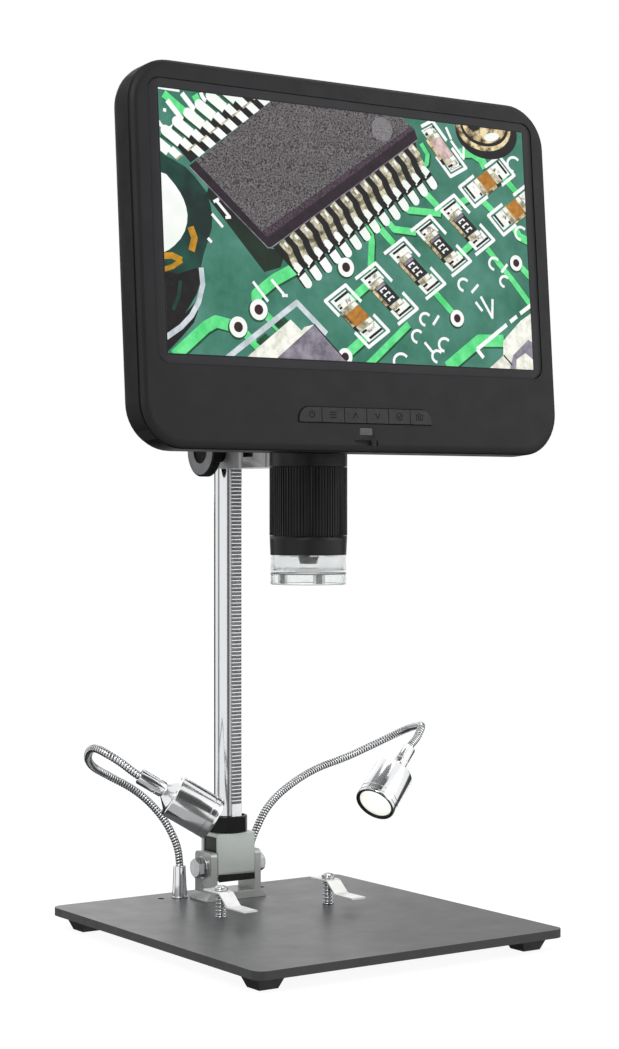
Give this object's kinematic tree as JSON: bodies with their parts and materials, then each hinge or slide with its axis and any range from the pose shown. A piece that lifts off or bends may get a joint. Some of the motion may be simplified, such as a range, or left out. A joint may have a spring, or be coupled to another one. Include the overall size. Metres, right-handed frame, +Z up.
{
  "type": "digital microscope",
  "caption": "Bench-top digital microscope: tilting display over a ribbed camera barrel, rack column with focus knob, flat stage with clips and gooseneck lamps",
  "frame": {"origin": "on the table, under the centre of the base plate", "axes": "+X right as seen by the person in front of the display, +Y to the back, +Z up"},
  "size_m": [0.214, 0.17, 0.3676],
  "materials": {
    "plate_grey": "satin",
    "rubber_black": "matte",
    "satin_aluminium": "satin",
    "bright_steel": "polished",
    "chrome": "polished",
    "rack_steel": "satin",
    "black_plastic": "satin",
    "ring_black": "matte",
    "carriage_silver": "satin",
    "knob_grey": "satin",
    "board_green": "satin",
    "board_white": "matte",
    "frosted_white": "frosted",
    "clear_plastic": "clear",
    "lens_glass": "polished",
    "lamp_white": "polished",
    "case_charcoal": "satin",
    "screen_black": "polished",
    "hinge_steel": "satin",
    "window_smoke": "polished",
    "button_grey": "satin"
  },
  "bodies": {
    "base": {"base_plate": "plate_grey", "rubber_feet": "rubber_black", "bracket": "satin_aluminium", "bracket_screws": "bright_steel", "hinge_bolt": "bright_steel", "hinge_washers": "bright_steel", "hinge_nut": "bright_steel", "lamp_post_left": "chrome", "lamp_post_right": "chrome", "post_nuts": "bright_steel", "clip_screws": "bright_steel"},
    "column": {"hinge_block": "satin_aluminium", "block_core": "black_plastic", "lock_nut": "black_plastic", "column_tube": "chrome", "rack": "rack_steel", "column_cap": "black_plastic"},
    "carriage": {"carriage_body": "carriage_silver", "arm_screws": "bright_steel", "camera_housing": "black_plastic", "housing_cap": "black_plastic", "monitor_pin": "bright_steel", "camera_board": "board_green", "lens_nose": "ring_black", "led_board": "board_white", "diffuser": "frosted_white", "clear_rim": "clear_plastic"},
    "knob": {"focus_knob": "knob_grey", "pinion_shaft": "bright_steel", "shaft_collar": "bright_steel"},
    "ring": {"focus_ring": "ring_black"},
    "lens": {"lens_carrier": "black_plastic", "objective_lens": "lens_glass"},
    "display": {"front_bezel": "case_charcoal", "screen_panel": "screen_black", "rear_cover": "case_charcoal", "main_board": "board_green", "key_board": "board_green", "ir_window": "window_smoke", "monitor_hinge": "hinge_steel", "rear_screws": "hinge_steel", "power_socket": "black_plastic"},
    "key_power": {"button_power": "button_grey"},
    "key_menu": {"button_menu": "button_grey"},
    "key_up": {"button_up": "button_grey"},
    "key_down": {"button_down_key": "button_grey"},
    "key_ok": {"button_ok": "button_grey"},
    "key_camera": {"button_camera": "button_grey"},
    "clip_left_base": {"clip_spring_left": "bright_steel"},
    "clip_left": {"clip_strip_left": "bright_steel"},
    "clip_right_base": {"clip_spring_right": "bright_steel"},
    "clip_right": {"clip_strip_right": "bright_steel"},
    "neck_left_low": {"neck_left_lower": "chrome"},
    "neck_left_high": {"neck_left_upper": "chrome"},
    "lamp_left": {"lamp_left_shell": "chrome", "lamp_left_optic": "lamp_white"},
    "neck_right_low": {"neck_right_lower": "chrome"},
    "neck_right_high": {"neck_right_upper": "chrome"},
    "lamp_right": {"lamp_right_shell": "chrome", "lamp_right_optic": "lamp_white"}
  },
  "joints": [
    {"name": "column_tilt", "type": "hinge", "parent": "base", "child": "column", "pos_m": [0, 0.0597, 0.0245], "axis": [-1, 0, 0], "range_deg": [-10, 20]},
    {"name": "focus_slide", "type": "slide", "parent": "column", "child": "carriage", "axis": [0, 0, 1], "range_m": [-0.128, 0.035]},
    {"name": "knob_turn", "type": "hinge", "parent": "carriage", "child": "knob", "pos_m": [0, 0.04824, 0.2136], "axis": [1, 0, 0], "range_deg": [-500, 1750]},
    {"name": "display_tilt", "type": "hinge", "parent": "carriage", "child": "display", "pos_m": [0, -0.0139, 0.246], "axis": [-1, 0, 0], "range_deg": [-4, 30]},
    {"name": "ring_turn", "type": "hinge", "parent": "carriage", "child": "ring", "pos_m": [0, -0.0056, 0.19], "axis": [0, 0, 1], "range_deg": [-135, 135]},
    {"name": "lens_slide", "type": "slide", "parent": "carriage", "child": "lens", "axis": [0, 0, 1], "range_m": [-0.003, 0.003]},
    {"name": "key_power_press", "type": "slide", "parent": "display", "child": "key_power", "axis": [0, 0.9972, -0.0743], "range_m": [0, 0.0006], "stiffness_N_per_m": 1500, "springref_m": -0.0005},
    {"name": "key_menu_press", "type": "slide", "parent": "display", "child": "key_menu", "axis": [0, 0.9972, -0.0743], "range_m": [0, 0.0006], "stiffness_N_per_m": 1500, "springref_m": -0.0005},
    {"name": "key_up_press", "type": "slide", "parent": "display", "child": "key_up", "axis": [0, 0.9972, -0.0743], "range_m": [0, 0.0006], "stiffness_N_per_m": 1500, "springref_m": -0.0005},
    {"name": "key_down_press", "type": "slide", "parent": "display", "child": "key_down", "axis": [0, 0.9972, -0.0743], "range_m": [0, 0.0006], "stiffness_N_per_m": 1500, "springref_m": -0.0005},
    {"name": "key_ok_press", "type": "slide", "parent": "display", "child": "key_ok", "axis": [0, 0.9972, -0.0743], "range_m": [0, 0.0006], "stiffness_N_per_m": 1500, "springref_m": -0.0005},
    {"name": "key_camera_press", "type": "slide", "parent": "display", "child": "key_camera", "axis": [0, 0.9972, -0.0743], "range_m": [0, 0.0006], "stiffness_N_per_m": 1500, "springref_m": -0.0005},
    {"name": "clip_left_turn", "type": "hinge", "parent": "base", "child": "clip_left_base", "pos_m": [-0.0285, 0.0203, 0.0208], "axis": [0, 0, 1], "range_deg": [-90, 90]},
    {"name": "clip_left_press", "type": "slide", "parent": "clip_left_base", "child": "clip_left", "axis": [0, 0, 1], "range_m": [-0.0051, 0], "stiffness_N_per_m": 700, "springref_m": 0.002, "deforming": ["clip_spring_left"]},
    {"name": "clip_right_turn", "type": "hinge", "parent": "base", "child": "clip_right_base", "pos_m": [0.0285, 0.0203, 0.0208], "axis": [0, 0, 1], "range_deg": [-90, 90]},
    {"name": "clip_right_press", "type": "slide", "parent": "clip_right_base", "child": "clip_right", "axis": [0, 0, 1], "range_m": [-0.0051, 0], "stiffness_N_per_m": 700, "springref_m": 0.002, "deforming": ["clip_spring_right"]},
    {"name": "neck_left_swing", "type": "hinge", "parent": "base", "child": "neck_left_low", "pos_m": [-0.0188, 0.0713, 0.0243], "axis": [0, 0, 1], "range_deg": [-55, 5]},
    {"name": "neck_left_bend", "type": "hinge", "parent": "neck_left_low", "child": "neck_left_high", "pos_m": [-0.0389, 0.08091, 0.0602], "axis": [0.1777, 0.9841, 0], "range_deg": [-15, 25]},
    {"name": "lamp_left_aim", "type": "hinge", "parent": "neck_left_high", "child": "lamp_left", "pos_m": [-0.0664, 0.0291, 0.0739], "axis": [0.4425, 0.8968, 0], "range_deg": [-25, 25]},
    {"name": "neck_right_swing", "type": "hinge", "parent": "base", "child": "neck_right_low", "pos_m": [0.0188, 0.0713, 0.0243], "axis": [0, 0, 1], "range_deg": [-15, 45]},
    {"name": "neck_right_bend", "type": "hinge", "parent": "neck_right_low", "child": "neck_right_high", "pos_m": [0.04508, 0.0748, 0.05665], "axis": [0.1207, -0.9927, 0], "range_deg": [-15, 25]},
    {"name": "lamp_right_aim", "type": "hinge", "parent": "neck_right_high", "child": "lamp_right", "pos_m": [0.0801, 0.0273, 0.0769], "axis": [0.3811, -0.9245, 0], "range_deg": [-25, 25]}
  ],
  "couplings": [
    {"joint": "knob_turn", "follows": "focus_slide", "rad_per_m": -231},
    {"joint": "ring_turn", "follows": "lens_slide", "rad_per_m": 785.3}
  ]
}
